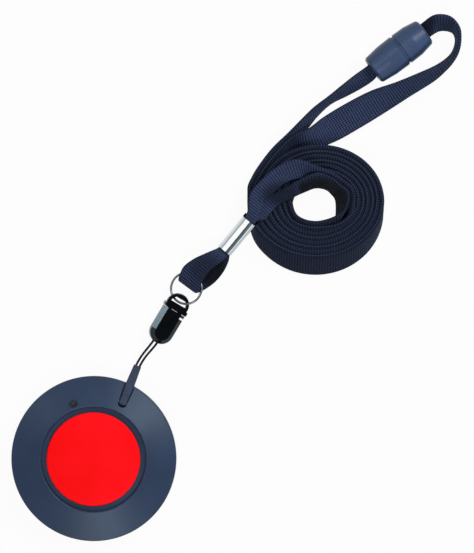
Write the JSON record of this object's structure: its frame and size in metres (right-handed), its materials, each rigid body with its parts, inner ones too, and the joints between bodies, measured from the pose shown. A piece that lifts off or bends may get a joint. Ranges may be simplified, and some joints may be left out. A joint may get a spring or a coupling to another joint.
{
  "type": "pendant transmitter",
  "caption": "Round panic-button pendant transmitter with a rolled neck lanyard, snap clip, steel ring and breakaway connector, lying flat.",
  "frame": {"origin": "middle of the flat rear face of the round housing, on the table", "axes": "+Z out of the button's face; +Y from the housing towards the rolled lanyard as seen from above, +X to the right"},
  "size_m": [0.1581, 0.1852, 0.0131],
  "materials": {
    "housing_plastic": "satin anthracite",
    "seal_rubber": "matt silicone",
    "screw_steel": "plated",
    "button_red": "satin",
    "switch_plastic": "moulded",
    "board_laminate": "solder mask",
    "contact_steel": "bright",
    "antenna_brass": "bare wire",
    "lens_clear": "diffusing lens",
    "tab_rubber": "matt",
    "string_black": "braided",
    "clip_plastic": "gloss",
    "ring_steel": "polished",
    "crimp_chrome": "polished",
    "webbing_navy": "woven",
    "connector_plastic": "moulded"
  },
  "bodies": {
    "pendant": {"front_shell": "housing_plastic", "rear_shell": "housing_plastic", "sealing_ring": "seal_rubber", "housing_screws": "screw_steel", "button_seal": "seal_rubber", "push_switch": "switch_plastic", "circuit_board": "board_laminate", "radio_chip": "switch_plastic", "crystal_can": "contact_steel", "antenna": "antenna_brass", "status_led": "lens_clear", "light_pipe": "lens_clear", "coin_cell": "contact_steel", "battery_clip": "contact_steel", "battery_contact": "contact_steel", "strap_pin": "screw_steel", "strap_tab": "tab_rubber", "cord_loop": "string_black", "clip_socket": "clip_plastic"},
    "button": {"call_button": "button_red"},
    "plunger": {"switch_plunger": "switch_plastic"},
    "lanyard": {"clip_plug": "clip_plastic", "crimp": "crimp_chrome", "strap_ring_loop": "webbing_navy", "strap_lead_upper": "webbing_navy", "strap_lead_lower": "webbing_navy", "strap_roll": "webbing_navy", "strap_back": "webbing_navy", "strap_front": "webbing_navy", "strap_neck_loop": "webbing_navy", "breakaway_socket": "connector_plastic"},
    "ring": {"lanyard_ring": "ring_steel"},
    "connector_plug": {"breakaway_plug": "connector_plastic"}
  },
  "joints": [
    {"name": "button_press", "type": "slide", "parent": "pendant", "child": "button", "axis": [0, 0, -1], "range_m": [0, 0.0004], "stiffness_N_per_m": 2000, "deforming": ["button_seal"]},
    {"name": "switch_press", "type": "slide", "parent": "pendant", "child": "plunger", "axis": [0, 0, -1], "range_m": [0, 0.00025]},
    {"name": "clip_release", "type": "slide", "parent": "pendant", "child": "lanyard", "axis": [0.5135, 0.8581, 0], "range_m": [0, 0.009]},
    {"name": "ring_spin", "type": "hinge", "parent": "lanyard", "child": "ring", "pos_m": [0.03244, 0.05985, 0.00305], "axis": [-0.2076, 0.1242, 0.9703], "continuous": true},
    {"name": "breakaway_release", "type": "slide", "parent": "lanyard", "child": "connector_plug", "axis": [0.7955, 0.606, 0], "range_m": [0, 0.008], "deforming": ["strap_neck_loop"]}
  ],
  "couplings": [
    {"joint": "switch_press", "follows": "button_press", "ratio": 0.5}
  ]
}
